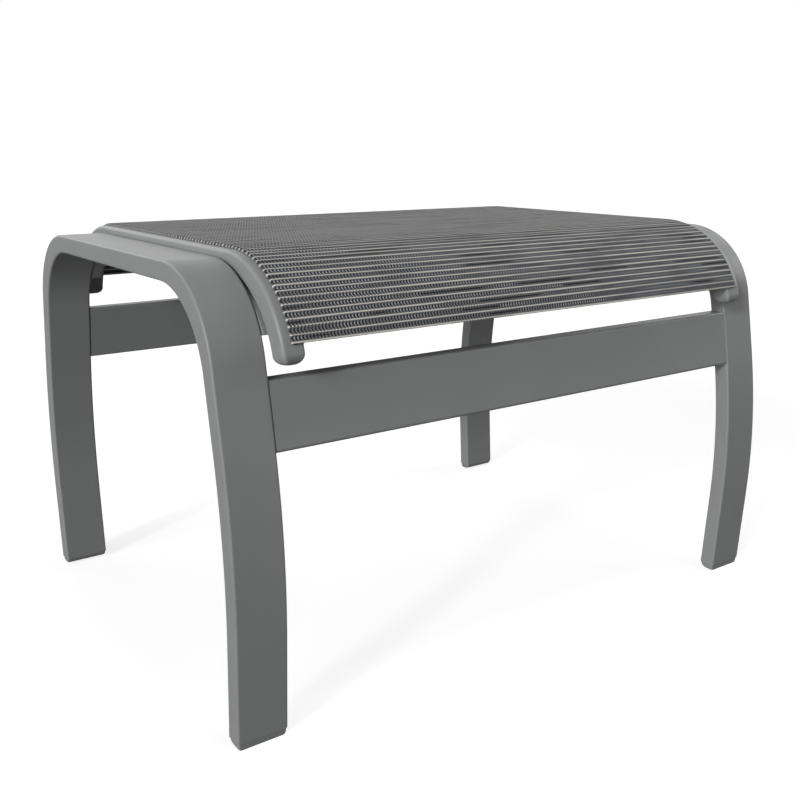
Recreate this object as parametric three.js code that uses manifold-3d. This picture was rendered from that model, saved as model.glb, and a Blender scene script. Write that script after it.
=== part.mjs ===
// Outdoor ottoman footstool. Two bent flat-tube side frames are joined by two stretchers,
// and a woven sling is held taut between two curved rails on carriers inside the frames.
// Millimetres, +Z up. X runs along the stretchers, -Y is the front, and the origin is on
// the floor below the middle of the seat.
import * as THREE from "three";
import { mergeVertices } from "three/addons/utils/BufferGeometryUtils.js";
import Module from "manifold-3d";

const wasm = await Module();
wasm.setup();

// Driving dimensions of the side frames, bent from flat rectangular tube
const overallWidth = 711.2;
const frameHeight = 426.8;
const tubeWidth = 50.8;
const tubeThickness = 19.3;
const tubeWall = 2;
const tubeCornerRadius = 2.4;
const bendStart = 145.2;
const bendRadius = 94.5;
const insideBendRadius = 85.5;
const bendAngle = THREE.MathUtils.degToRad(80.1);
const legStraight = 71.8;
const legCurveRadius = 781.5;
const legCurveAngle = THREE.MathUtils.degToRad(13.2);

// Stretchers between the legs, with leaning faces and level tops
const stretcherDrop = 96.2;
const stretcherHeight = 62.2;
const stretcherInset = 0.5;
const stretcherWall = 2;
const stretcherCornerRadius = 2.8;

// Foot glides under the open tube ends
const glideHeight = 7.4;
const glideInset = 1;
const glideToeRadius = 1.5;
const glideHeelLength = 10;
const glideHeelShare = 0.9;
const glideEndRadius = 1;
const glidePlugLength = 18;

// Sling rails, with a slot for the sling in the outer face and a chamber below its bore
const railWidth = 21.9;
const railDepth = 21.4;
const railRise = 9.5;
const railGap = 2.8;
const railEdgeRadius = 3.5;
const railCornerRadius = 4;
const railWall = 2;
const railBendStart = 157.5;
const railBendRadius = 107.9;
const slotSetback = 13.2;
const slotWidth = 3.2;
const boreDiameter = 6.8;
const boreDepth = 6.9;

// Caps on the rails' ends: a body as wide as the rail, and a dome
const capBodyLength = 6.7;
const capDomeLength = 9.8;
const capRounding = 9.2;

// Sling, doubled through the slots, and the rods in its side pockets
const slingThickness = 1.2;
const slingDip = 0.2;
const slingHemDrop = 63.6;
const slingEdgeRadius = 1;
const hemMargin = 0.6;
const rodDiameter = 3;
const rodSetback = 2;

// Carriers that seat the rails on the side frames
const carrierWidth = 12.2;
const carrierInset = 1.1;
const carrierEndDrop = 58;

// Spreader bars that hold the rails apart, bowed down below the sling
const spreaderWidth = 25.4;
const spreaderHeight = 12.7;
const spreaderWall = 1.6;
const spreaderCornerRadius = 3;
const spreaderBow = 25;
const spreaderStraightEnd = 24;
const spreaderSpacing = 250;
const spreaderPlugLength = 16;

// Screws, all of one thread
const screwDiameter = 3.5;
const screwHeadDiameter = 6;
const screwHeadHeight = 2.2;
const socketWidth = 2.6;
const socketDepth = 1.2;
const screwBite = 2;
const carrierScrewSpacing = 120;
const railScrewSpacing = 120;

// Clearances, and how far a cutting shape runs past what it cuts
const gap = 0.3;
const overrun = 10;

// Facets of the round stretches
const bendSteps = 11;
const legSteps = 5;
const cornerSteps = 2;
const edgeSteps = 3;
const boreSteps = 10;
const domeSteps = 4;
const bowSteps = 10;
const rodSides = 8;
const screwSides = 12;
const socketSides = 6;

// Places that several pieces share
const quarterTurn = Math.PI / 2;
const fullTurn = 2 * Math.PI;
const frameInboard = overallWidth / 2 - tubeWidth;
const frameMiddle = overallWidth / 2 - tubeWidth / 2;
const stretcherTop = frameHeight - stretcherDrop;
const railOutboard = frameInboard - railGap;
const railInboard = railOutboard - railWidth;
const slotMiddle = railOutboard - slotSetback;
const railTop = frameHeight + railRise;
const railBase = railDepth - railRise;
const lipStep = slingDip + slingThickness + gap;
const chamberTop = boreDepth + boreDiameter / 2 + railWall;
const chamberBottom = railDepth - railWall;
const carrierMiddle = frameInboard - gap - carrierWidth / 2;
const carrierTop = frameHeight - railBase - gap;
const carrierBottom = frameHeight - tubeThickness + carrierInset;
const carrierScrewHeight = (carrierTop + carrierBottom) / 2;
const carrierScrewPlaces = [-carrierScrewSpacing, 0, carrierScrewSpacing];
const railScrewMiddle = (railOutboard + carrierMiddle - carrierWidth / 2) / 2;
const spreaderLength = 2 * (railInboard - gap);
const spreaderMiddle = railTop - (chamberTop + chamberBottom) / 2;
const screwHoleDiameter = screwDiameter + 2 * gap;
const sides = [
  { side: -1, sideName: "left" },
  { side: 1, sideName: "right" },
];
const ends = [
  { end: -1, endName: "front" },
  { end: 1, endName: "rear" },
];

const powderCoat = new THREE.MeshStandardMaterial({ color: 0x6f7270, roughness: 0.5, metalness: 0.2 });
const capPlastic = new THREE.MeshStandardMaterial({ color: 0x6f7270, roughness: 0.6, metalness: 0 });
const glidePlastic = new THREE.MeshStandardMaterial({ color: 0x6a6d6b, roughness: 0.7, metalness: 0 });
const wovenSling = new THREE.MeshStandardMaterial({ color: 0x5e5e60, roughness: 0.9, metalness: 0 });
const rodPlastic = new THREE.MeshStandardMaterial({ color: 0xd8d8d0, roughness: 0.6, metalness: 0 });
const plugPlastic = new THREE.MeshStandardMaterial({ color: 0x2a2b2b, roughness: 0.7, metalness: 0 });
const screwSteel = new THREE.MeshStandardMaterial({ color: 0xb4b6b8, roughness: 0.35, metalness: 0.9 });

// A closed geometry as a solid that can be joined and cut
function solidFrom(geometry) {
  const bare = geometry.clone();
  bare.deleteAttribute("normal");
  bare.deleteAttribute("uv");
  const merged = mergeVertices(bare);
  return new wasm.Manifold(
    new wasm.Mesh({
      numProp: 3,
      vertProperties: merged.attributes.position.array,
      triVerts: new Uint32Array(merged.index.array),
    }),
  );
}

function geometryFrom(solid) {
  const mesh = solid.getMesh();
  const geometry = new THREE.BufferGeometry();
  geometry.setAttribute("position", new THREE.BufferAttribute(mesh.vertProperties, mesh.numProp));
  geometry.setIndex(new THREE.BufferAttribute(mesh.triVerts, 1));
  geometry.computeVertexNormals();
  return geometry;
}

function cut(body, cutters) {
  return geometryFrom(cutters.reduce((left, cutter) => left.subtract(solidFrom(cutter)), solidFrom(body)));
}

function joined(first, second) {
  return geometryFrom(solidFrom(first).add(solidFrom(second)));
}

function piece(name, geometry, material) {
  const mesh = new THREE.Mesh(geometry, material);
  mesh.name = name;
  return mesh;
}

// Turns a piece modelled at the rear to face its own end
function turned(mesh, end) {
  mesh.rotation.z = end < 0 ? Math.PI : 0;
  return mesh;
}

// A piece modelled on the right, mirrored for the left
function mirrored(geometry, side) {
  return side < 0 ? geometryFrom(solidFrom(geometry).mirror([1, 0, 0])) : geometry;
}

// A station on an arc: a point in the YZ plane with the angle of its outward normal,
// counted from straight up towards +Y
function onArc(centreY, centreZ, radius, angle) {
  return { y: centreY + radius * Math.sin(angle), z: centreZ + radius * Math.cos(angle), angle };
}

function arcStations(centreY, centreZ, radius, from, to, steps) {
  return Array.from({ length: steps + 1 }, (_, i) => {
    return onArc(centreY, centreZ, radius, THREE.MathUtils.lerp(from, to, i / steps));
  });
}

// The station a distance further along the tangent of another
function onward({ y, z, angle }, distance) {
  return { y: y + distance * Math.cos(angle), z: z - distance * Math.sin(angle), angle };
}

// The station at a depth below the surface that another lies on
function sunk({ y, z, angle }, depth) {
  return { y: y - depth * Math.sin(angle), z: z - depth * Math.cos(angle), angle };
}

// The rear half of a line down to a height, carried on straight if it ends above that
function downTo(height, line) {
  const kept = line.filter((station) => station.z > height);
  const last = kept.at(-1);
  const next = line[kept.length] ?? onward(last, frameHeight);
  const share = (last.z - height) / (last.z - next.z);
  const reached = (key) => THREE.MathUtils.lerp(last[key], next[key], share);
  return [...kept, { y: reached("y"), z: height, angle: reached("angle") }];
}

// The Y of the rear half of a line at a height
function reachAt(height, line) {
  return downTo(height, line).at(-1).y;
}

// A whole line, from its rear end over the top to its front end
function wholeLine(rearHalf) {
  const frontHalf = rearHalf.map(({ y, z, angle }) => ({ y: -y, z, angle: -angle }));
  return [...rearHalf.toReversed(), ...frontHalf];
}

// The rear half of a side frame's line at a depth below its outer surface, from the start
// of the bend to the lower end of the leg's curve
function frameLine(depth, radius) {
  const bendEnd = onArc(bendStart, frameHeight - bendRadius, bendRadius, bendAngle);
  const legTop = sunk(bendEnd, depth);
  const centreZ = frameHeight - depth - radius;
  const reach = (legTop.z - centreZ) * Math.cos(bendAngle) - radius;
  const centreY = legTop.y + reach / Math.sin(bendAngle);
  const legCentre = sunk(onward(bendEnd, legStraight), legCurveRadius);
  const legEnd = bendAngle + legCurveAngle;
  return [
    ...arcStations(centreY, centreZ, radius, 0, bendAngle, bendSteps),
    ...arcStations(legCentre.y, legCentre.z, legCurveRadius - depth, bendAngle, legEnd, legSteps),
  ];
}

function outerLine(inset) {
  return frameLine(inset, bendRadius - inset);
}

function innerLine(inset) {
  return frameLine(tubeThickness - inset, insideBendRadius + inset);
}

// The rear half of the line along a rail's top, from the start of its bend to a length
// past the sling's hem
function railLine(pastHem) {
  const hemAngle = Math.acos(1 - (railRise + slingHemDrop) / railBendRadius);
  const endAngle = hemAngle + pastHem / railBendRadius;
  return arcStations(railBendStart, railTop - railBendRadius, railBendRadius, 0, endAngle, bendSteps);
}

// The outline between the whole of an upper and a lower line
function outlineBetween(upper, lower) {
  const points = [...wholeLine(upper), ...wholeLine(lower).toReversed()];
  return new THREE.Shape(points.map(({ y, z }) => new THREE.Vector2(y, z)));
}

// An outline in the YZ plane, extruded along X about x = 0 with rounded end edges
function alongX(outline, width, edgeRadius) {
  const geometry = new THREE.ExtrudeGeometry(outline, {
    depth: width - 2 * edgeRadius,
    bevelEnabled: edgeRadius > 0,
    bevelThickness: edgeRadius,
    bevelSize: edgeRadius,
    bevelOffset: -edgeRadius,
    bevelSegments: edgeSteps,
    curveSegments: cornerSteps,
  });
  geometry.translate(0, 0, edgeRadius - width / 2);
  return geometry.rotateX(quarterTurn).rotateZ(quarterTurn);
}

// A section swept through stations, with each of its points placed by the station's function
function swept(section, stations, place) {
  const steps = stations.length - 1;
  const options = { depth: steps, steps, bevelEnabled: false, curveSegments: cornerSteps };
  const geometry = new THREE.ExtrudeGeometry(section, options);
  const position = geometry.attributes.position;
  for (let i = 0; i < position.count; i++) {
    const station = stations[Math.round(position.getZ(i))];
    position.setXYZ(i, ...place(station, position.getX(i), position.getY(i)));
  }
  return geometry;
}

// Stations run from the rear to the front. The section's x runs along X and its y along
// the outward normal.
function sweptOver(section, stations) {
  return swept(section, stations, (station, x, y) => {
    const point = sunk(station, -y);
    return [x, point.y, point.z];
  });
}

// Adds a rounded rectangle to a path
function roundedRectangle(path, width, bottom, top, radius) {
  const right = width / 2 - radius;
  path.absarc(right, top - radius, radius, 0, quarterTurn, false);
  path.absarc(-right, top - radius, radius, quarterTurn, 2 * quarterTurn, false);
  path.absarc(-right, bottom + radius, radius, 2 * quarterTurn, 3 * quarterTurn, false);
  path.absarc(right, bottom + radius, radius, 3 * quarterTurn, 4 * quarterTurn, false);
  path.closePath();
  return path;
}

// A screw's clearance hole about the origin, along Z
function screwHole(length) {
  const radius = screwHoleDiameter / 2;
  return new THREE.CylinderGeometry(radius, radius, length, screwSides).rotateX(quarterTurn);
}

function holeAlongX(length, x, y, z) {
  return screwHole(length).rotateY(quarterTurn).translate(x, y, z);
}

// Side frames

function tubeBetween(upper, lower, foot, width, edgeRadius) {
  return alongX(outlineBetween(downTo(foot, upper), downTo(foot, lower)), width, edgeRadius);
}

function sideFrame({ side, sideName }) {
  const below = glideHeight - overrun;
  const body = tubeBetween(outerLine(0), innerLine(0), below, tubeWidth, tubeCornerRadius);
  const hollowWidth = tubeWidth - 2 * tubeWall;
  const hollow = tubeBetween(outerLine(tubeWall), innerLine(tubeWall), below - overrun, hollowWidth, 0);
  const floor = new THREE.BoxGeometry(overallWidth, overallWidth, 2 * overrun);
  floor.translate(0, 0, glideHeight - overrun);
  const screwHoles = carrierScrewPlaces.map((y) =>
    holeAlongX(2 * tubeWall, (side * (tubeWall - tubeWidth)) / 2, y, carrierScrewHeight),
  );
  const frame = piece("side_frame_" + sideName, cut(body, [hollow, floor, ...screwHoles]), powderCoat);
  frame.position.x = side * frameMiddle;
  return frame;
}

// Stretchers

// The stretcher's rear outline at an inset, with rounded corners
function stretcherOutline(inset) {
  const bottom = stretcherTop - stretcherHeight + inset;
  const top = stretcherTop - inset;
  const outer = outerLine(stretcherInset + inset);
  const inner = innerLine(stretcherInset + inset);
  const corners = [
    new THREE.Vector2(reachAt(bottom, inner), bottom),
    new THREE.Vector2(reachAt(bottom, outer), bottom),
    new THREE.Vector2(reachAt(top, outer), top),
    new THREE.Vector2(reachAt(top, inner), top),
  ];
  const radius = stretcherCornerRadius - inset;
  const towards = (corner, other) => other.clone().sub(corner).setLength(radius).add(corner);
  return corners.flatMap((corner, i) => {
    const start = towards(corner, corners.at(i - 1));
    const finish = towards(corner, corners[(i + 1) % corners.length]);
    return new THREE.QuadraticBezierCurve(start, corner, finish).getPoints(edgeSteps);
  });
}

function stretcher({ end, endName }) {
  const outline = new THREE.Shape(stretcherOutline(0));
  outline.holes.push(new THREE.Path(stretcherOutline(stretcherWall)));
  const bar = alongX(outline, 2 * (frameInboard - gap), 0);
  return turned(piece(endName + "_stretcher", bar, powderCoat), end);
}

// Foot glides: a base with a sharp outer edge and a long rounding below its inner side, and
// a plug up the leg's hollow

function footGlide({ side, sideName }, { end, endName }) {
  const outer = reachAt(glideHeight, outerLine(0)) - glideInset;
  const inner = reachAt(glideHeight, innerLine(0)) + glideInset;
  const toe = glideToeRadius;
  const heelEnd = inner + glideHeelLength;
  const heelHeight = glideHeelShare * (glideHeight - gap - glideEndRadius);
  const base = new THREE.Shape();
  base.moveTo(outer, glideHeight - gap);
  base.lineTo(inner, glideHeight - gap);
  base.absellipse(
    heelEnd,
    heelHeight,
    glideHeelLength,
    heelHeight,
    2 * quarterTurn,
    3 * quarterTurn,
    false,
    0,
  );
  base.absarc(outer - toe, toe, toe, 3 * quarterTurn, fullTurn, false);
  base.closePath();
  const plugInset = tubeWall + gap;
  const plugTop = glideHeight + glidePlugLength;
  const plugFoot = glideHeight - glideInset;
  const plug = new THREE.Shape([
    new THREE.Vector2(reachAt(plugFoot, innerLine(plugInset)), plugFoot),
    new THREE.Vector2(reachAt(plugFoot, outerLine(plugInset)), plugFoot),
    new THREE.Vector2(reachAt(plugTop, outerLine(plugInset)), plugTop),
    new THREE.Vector2(reachAt(plugTop, innerLine(plugInset)), plugTop),
  ]);
  const geometry = joined(
    alongX(base, tubeWidth - 2 * glideInset, glideEndRadius),
    alongX(plug, tubeWidth - 2 * plugInset, 0),
  );
  const glide = turned(piece(["foot_glide", endName, sideName].join("_"), geometry, glidePlastic), end);
  glide.position.x = side * frameMiddle;
  return glide;
}

// Sling rails

// The outline of the right rail about its slot, with the points of the slot and the depth of
// the inboard lip below the outboard one
function railOutline(slot, inboardDrop) {
  const outboard = slotSetback;
  const inboard = slotSetback - railWidth;
  const bottomCentre = railCornerRadius - railDepth;
  const edge = railEdgeRadius;
  const corner = railCornerRadius;
  const outline = new THREE.Shape();
  outline.absarc(outboard - corner, bottomCentre, corner, -quarterTurn, 0, false);
  outline.absarc(outboard - edge, -edge, edge, 0, quarterTurn, false);
  slot.forEach(({ x, y }) => outline.lineTo(x, y));
  outline.absarc(inboard + edge, -inboardDrop - edge, edge, quarterTurn, 2 * quarterTurn, false);
  outline.absarc(inboard + corner, bottomCentre, corner, -2 * quarterTurn, -quarterTurn, false);
  outline.closePath();
  return outline;
}

// Points round a circle at the bore's centre, from one side of an opening in its top to
// the other, with a turn of 1 for clockwise or -1 for counter-clockwise
function aroundBore(radius, openingWidth, turn) {
  const opening = turn * Math.asin(openingWidth / (2 * radius));
  const stations = arcStations(0, -boreDepth, radius, opening, turn * fullTurn - opening, boreSteps);
  return stations.map(({ y, z }) => new THREE.Vector2(y, z));
}

// The chamber under the bore, or a tongue that fits in it with a clearance
function chamberOutline(clearance) {
  const outboard = slotSetback - railWall - clearance;
  const inboard = slotSetback - railWidth + railWall + clearance;
  const bottom = clearance - chamberBottom;
  const top = -clearance - chamberTop;
  return [
    new THREE.Vector2(outboard, bottom),
    new THREE.Vector2(outboard, top),
    new THREE.Vector2(inboard, top),
    new THREE.Vector2(inboard, bottom),
  ];
}

function slingRail({ side, sideName }) {
  const section = railOutline(
    [
      new THREE.Vector2(slotWidth / 2, 0),
      ...aroundBore(boreDiameter / 2, slotWidth, 1),
      new THREE.Vector2(-slotWidth / 2, -lipStep),
    ],
    lipStep,
  );
  section.holes.push(new THREE.Path(chamberOutline(0)));
  const railScrewHoles = ends.map(({ end }) =>
    screwHole(2 * railWall).translate(
      railScrewMiddle - slotMiddle,
      (end * railScrewSpacing) / 2,
      frameHeight - railBase,
    ),
  );
  const spreaderHoles = ends.map(({ end }) =>
    holeAlongX(2 * railWidth + overrun, 0, (end * spreaderSpacing) / 2, spreaderMiddle),
  );
  const body = sweptOver(section, wholeLine(railLine(hemMargin)));
  const geometry = mirrored(cut(body, [...railScrewHoles, ...spreaderHoles]), side);
  const rail = piece("sling_rail_" + sideName, geometry, powderCoat);
  rail.position.x = side * slotMiddle;
  return rail;
}

// Caps on the rails' ends, with a tongue up the chamber

function railEndCap({ side, sideName }, { end, endName }) {
  const [beforeEnd, railEnd] = railLine(hemMargin).slice(-2);
  const middle = slotSetback - railWidth / 2;
  const domeRings = Array.from({ length: domeSteps + 1 }, (_, i) => {
    const turn = (quarterTurn * (domeSteps - i)) / (domeSteps + 1);
    const shrink = 2 * capRounding * (1 - Math.cos(turn));
    const pastHem = hemMargin + gap + capBodyLength + capDomeLength * Math.sin(turn);
    return {
      station: railLine(pastHem).at(-1),
      widthShare: 1 - shrink / railWidth,
      depthShare: 1 - shrink / railDepth,
    };
  });
  const seatRing = { station: railLine(hemMargin + gap).at(-1), widthShare: 1, depthShare: 1 };
  const rings = [...domeRings, seatRing];
  const body = swept(railOutline([], 0), rings, ({ station, widthShare, depthShare }, x, y) => {
    const point = sunk(station, THREE.MathUtils.lerp(railDepth / 2, -y, depthShare));
    return [THREE.MathUtils.lerp(middle, x, widthShare), point.y, point.z];
  });
  const tongueLine = [onward(railEnd, capBodyLength), railEnd, beforeEnd];
  const tongue = sweptOver(new THREE.Shape(chamberOutline(gap)), tongueLine);
  const name = ["rail_end_cap", endName, sideName].join("_");
  const cap = turned(piece(name, mirrored(joined(body, tongue), side * end), capPlastic), end);
  cap.position.x = side * slotMiddle;
  return cap;
}

// Carriers, between the rails' underside and the frames' lower face

function railCarrier({ side, sideName }) {
  const ending = frameHeight - carrierEndDrop;
  const upper = railLine(0).map((station) => sunk(station, railDepth + gap));
  const bar = tubeBetween(upper, innerLine(carrierInset), ending, carrierWidth, 0);
  const crossHoles = carrierScrewPlaces.map((y) =>
    holeAlongX(carrierWidth + overrun, 0, y, carrierScrewHeight),
  );
  const seats = ends.map(({ end }) =>
    lathed([
      [0, -overrun],
      [screwHeadDiameter / 2 + gap, -overrun],
      [screwHeadDiameter / 2 + gap, gap],
      [screwHoleDiameter / 2, screwHeadHeight + gap],
      [screwHoleDiameter / 2, tubeThickness],
      [0, tubeThickness],
    ]).translate(side * (railScrewMiddle - carrierMiddle), (end * railScrewSpacing) / 2, carrierBottom),
  );
  const carrier = piece("rail_carrier_" + sideName, cut(bar, [...crossHoles, ...seats]), powderCoat);
  carrier.position.x = side * carrierMiddle;
  return carrier;
}

// Sling: one sheet over the inboard lips, with a pocket at each side

function sling() {
  const top = -slingDip;
  const underside = top - slingThickness;
  const outboard = slotMiddle + slingThickness;
  const pocket = aroundBore(rodDiameter / 2 + gap + slingThickness, 2 * slingThickness, -1);
  const edge = new THREE.QuadraticBezierCurve(
    new THREE.Vector2(outboard, top - slingEdgeRadius),
    new THREE.Vector2(outboard, top),
    new THREE.Vector2(outboard - slingEdgeRadius, top),
  );
  const rightHalf = [
    new THREE.Vector2(slotMiddle - slingThickness, underside),
    ...pocket.map(({ x, y }) => new THREE.Vector2(slotMiddle + x, y)),
    ...edge.getPoints(edgeSteps),
  ];
  const leftHalf = rightHalf.map(({ x, y }) => new THREE.Vector2(-x, y)).toReversed();
  const section = new THREE.Shape([...rightHalf, ...leftHalf]);
  section.holes = sides.map(({ side }) => new THREE.Path(rodCircle(side * slotMiddle, gap)));
  return piece("sling", sweptOver(section, wholeLine(railLine(0))), wovenSling);
}

function rodCircle(x, clearance) {
  const stations = arcStations(x, -boreDepth, rodDiameter / 2 + clearance, fullTurn, 0, rodSides);
  return stations.map(({ y, z }) => new THREE.Vector2(y, z));
}

function splineRod({ side, sideName }) {
  const section = new THREE.Shape(rodCircle(0, 0));
  const rod = sweptOver(section, wholeLine(railLine(-rodSetback)));
  const made = piece("spline_rod_" + sideName, rod, rodPlastic);
  made.position.x = side * slotMiddle;
  return made;
}

// Spreader bars, with a straight stretch at each end for the plug

// A bar's rounded section, or with the wall as inset its hollow
function spreaderOutline(path, inset) {
  const half = spreaderHeight / 2 - inset;
  return roundedRectangle(path, spreaderWidth - 2 * inset, -half, half, spreaderCornerRadius - inset);
}

function spreaderBar({ end, endName }) {
  const section = spreaderOutline(new THREE.Shape(), 0);
  section.holes.push(spreaderOutline(new THREE.Path(), spreaderWall));
  const bowedHalf = spreaderLength / 2 - spreaderStraightEnd;
  const bowed = Array.from({ length: bowSteps + 1 }, (_, i) => {
    const share = (2 * i) / bowSteps - 1;
    return { x: bowedHalf * share, drop: (spreaderBow * (1 + Math.cos(Math.PI * share))) / 2 };
  });
  const stations = [{ x: -spreaderLength / 2, drop: 0 }, ...bowed, { x: spreaderLength / 2, drop: 0 }];
  const bar = swept(section, stations, ({ x, drop }, y, z) => [x, y, z - drop]);
  const made = piece("spreader_bar_" + endName, bar, powderCoat);
  made.position.set(0, (end * spreaderSpacing) / 2, spreaderMiddle);
  return made;
}

function spreaderEndPlug({ side, sideName }, { end, endName }) {
  const section = spreaderOutline(new THREE.Shape(), spreaderWall + gap);
  const block = alongX(section, spreaderPlugLength, 0);
  const geometry = cut(block, [holeAlongX(2 * spreaderPlugLength, 0, 0, 0)]);
  const plug = piece(["spreader_end_plug", endName, sideName].join("_"), geometry, plugPlastic);
  const middle = (spreaderLength - spreaderPlugLength) / 2;
  plug.position.set(side * middle, (end * spreaderSpacing) / 2, spreaderMiddle);
  return plug;
}

// Screws, modelled pointing up with the head's face at the bottom

function lathed(profile) {
  const points = profile.map(([radius, height]) => new THREE.Vector2(radius, height));
  return new THREE.LatheGeometry(points, screwSides).rotateX(quarterTurn);
}

function screw(name, headShoulder, length) {
  const body = lathed([
    [0, 0],
    [screwHeadDiameter / 2, 0],
    [screwHeadDiameter / 2, headShoulder],
    [screwDiameter / 2, screwHeadHeight],
    [screwDiameter / 2, length],
    [0, length],
  ]);
  const radius = socketWidth / 2;
  const socket = new THREE.CylinderGeometry(radius, radius, 2 * socketDepth, socketSides);
  return piece(name, cut(body, [socket.rotateX(quarterTurn)]), screwSteel);
}

// Points a screw along X, towards +X or -X, with the seat of its head at an X
function aimed(made, towards, seatX, y, z) {
  made.rotation.y = towards * quarterTurn;
  made.position.set(seatX - towards * (screwHeadHeight + gap), y, z);
  return made;
}

function carrierScrews({ side, sideName }) {
  const length = screwHeadHeight + gap + carrierWidth + gap + tubeWall + screwBite;
  const seatX = side * (carrierMiddle - carrierWidth / 2);
  return carrierScrewPlaces.map((y, i) => {
    const name = ["carrier_screw", sideName, i + 1].join("_");
    return aimed(screw(name, screwHeadHeight, length), side, seatX, y, carrierScrewHeight);
  });
}

function spreaderScrew({ side, sideName }, { end, endName }) {
  const length = screwHeadHeight + gap + railWidth + gap + spreaderPlugLength - screwBite;
  const seatX = side * railOutboard;
  const name = ["spreader_screw", endName, sideName].join("_");
  const y = (end * spreaderSpacing) / 2;
  return aimed(screw(name, screwHeadHeight, length), -side, seatX, y, spreaderMiddle);
}

function railScrew({ side, sideName }, { end, endName }) {
  const length = carrierTop - carrierBottom + gap + railWall + screwBite;
  const made = screw(["rail_screw", endName, sideName].join("_"), 0, length);
  made.position.set(side * railScrewMiddle, (end * railScrewSpacing) / 2, carrierBottom);
  return made;
}

// The whole ottoman

const ottoman = new THREE.Group();
ottoman.name = "ottoman";
ends.forEach((at) => ottoman.add(stretcher(at), spreaderBar(at)));
sides.forEach((at) => {
  ottoman.add(sideFrame(at), slingRail(at), railCarrier(at), splineRod(at), ...carrierScrews(at));
});
sides.forEach((at) => {
  ends.forEach((corner) => {
    ottoman.add(footGlide(at, corner), railEndCap(at, corner), spreaderEndPlug(at, corner));
    ottoman.add(spreaderScrew(at, corner), railScrew(at, corner));
  });
});
ottoman.add(sling());

export default ottoman;
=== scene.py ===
from math import acos, asin, cos, dist, pi, radians, sin

import bpy
from mathutils import Matrix, Vector
from mathutils.geometry import tessellate_polygon


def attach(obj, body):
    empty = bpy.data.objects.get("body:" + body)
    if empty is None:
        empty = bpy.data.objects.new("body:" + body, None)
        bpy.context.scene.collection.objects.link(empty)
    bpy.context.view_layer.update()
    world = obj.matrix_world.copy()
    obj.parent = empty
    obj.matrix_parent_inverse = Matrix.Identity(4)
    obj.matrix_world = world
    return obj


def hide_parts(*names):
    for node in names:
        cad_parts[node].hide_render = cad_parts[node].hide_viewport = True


MM = 0.001

# Side frames, as in the frame's source
FRAME_HEIGHT = 426.8 * MM
OVERALL_WIDTH = 711.2 * MM
TUBE_WIDTH = 50.8 * MM
TUBE_THICKNESS = 19.3 * MM
TUBE_WALL = 2 * MM
TUBE_CORNER_RADIUS = 2.4 * MM
HOLLOW_CORNER_RADIUS = 0.8 * MM
BEND_START = 145.2 * MM
BEND_RADIUS = 94.5 * MM
INSIDE_BEND_RADIUS = 85.5 * MM
BEND_ANGLE = radians(80.1)
LEG_STRAIGHT = 71.8 * MM
LEG_CURVE_RADIUS = 781.5 * MM
LEG_CURVE_ANGLE = radians(13.2)

# Stretchers
STRETCHER_DROP = 96.2 * MM
STRETCHER_HEIGHT = 62.2 * MM
STRETCHER_INSET = 0.5 * MM
STRETCHER_CORNER_RADIUS = 2.8 * MM

# Foot glides
GLIDE_HEIGHT = 7.4 * MM
GLIDE_INSET = 1 * MM
GLIDE_EDGE_RADIUS = 2 * MM
GLIDE_TOE_ROUNDING = 1 * MM
GLIDE_END_ROUNDING = 2.5 * MM
GLIDE_HEEL_ROUNDING = 11 * MM
GLIDE_ROUNDING_HEIGHT = 5.8 * MM
GLIDE_PLUG_LENGTH = 18 * MM

# Sling rails and their end caps
RAIL_WIDTH = 21.9 * MM
RAIL_DEPTH = 21.4 * MM
RAIL_RISE = 9.5 * MM
RAIL_GAP = 2.8 * MM
RAIL_EDGE_RADIUS = 3.5 * MM
RAIL_CORNER_RADIUS = 4 * MM
RAIL_BEND_START = 157.5 * MM
RAIL_BEND_RADIUS = 107.9 * MM
SLOT_SETBACK = 13.2 * MM
SLOT_WIDTH = 3.2 * MM
SLOT_LIP_RADIUS = 0.5 * MM
BORE_DIAMETER = 6.8 * MM
BORE_DEPTH = 6.9 * MM
CAP_BODY_LENGTH = 6.7 * MM
CAP_DOME_LENGTH = 9.8 * MM
CAP_ROUNDING = 9.2 * MM
CAP_SEAM = 0.05 * MM

# Sling and the rods in its pockets
SLING_THICKNESS = 1.2 * MM
SLING_HEM_DROP = 63.6 * MM
SLING_BULGE = 4.2 * MM
SLING_BULGE_POWER = 1.5
FOLD_RISE = 2.6 * MM
FOLD_REACH = 4.2 * MM
FOLD_RADIUS = 2.1 * MM
HEM_MARGIN = 0.6 * MM
ROD_DIAMETER = 3 * MM

# Carriers and spreader bars
CARRIER_WIDTH = 12.2 * MM
CARRIER_INSET = 1.1 * MM
CARRIER_END_DROP = 58 * MM
CARRIER_EDGE_RADIUS = 0.6 * MM
SPREADER_WIDTH = 25.4 * MM
SPREADER_HEIGHT = 12.7 * MM
SPREADER_CORNER_RADIUS = 3 * MM
SPREADER_BOW = 25 * MM
SPREADER_STRAIGHT_END = 24 * MM
SPREADER_SPACING = 250 * MM
RAIL_WALL = 2 * MM
GAP = 0.3 * MM

# The weave: pale cords along X, and between them rows of yarn with bent gaps. The gaps are openings
# in the cloth, painted near-black as the shade seen through them. Edge and end shares of a pitch are
# where a form starts to fade and where it is gone. Side shares are where it starts and where it is
# whole, and so are the levels of noise. Scales of noise are per metre across the cloth, and along it
# per metre for the wander and per row for the rest.
ROW_PITCH = 6.66 * MM
ROW_WANDER = 3.6 * MM
GAP_PITCH = 3.38 * MM
GAP_BEND_SHARE = 0.34
CORD_EDGE_SHARES = (0.055, 0.115)
GAP_EDGE_SHARES = (0.18, 0.3)
GAP_END_SHARES = (0.28, 0.36)
SPECK_SIDE_SHARES = (0.32, 0.46)
SPECK_END_SHARES = (0.06, 0.2)
STREAK_EDGE_SHARES = (0.08, 0.16)
DASH_EDGE_SHARES = (0.2, 0.3)
SPECK_LEVELS = (0.35, 0.6)
STREAK_LEVELS = (0.63, 0.68)
DASH_LEVELS = (0.6, 0.64)
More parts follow.
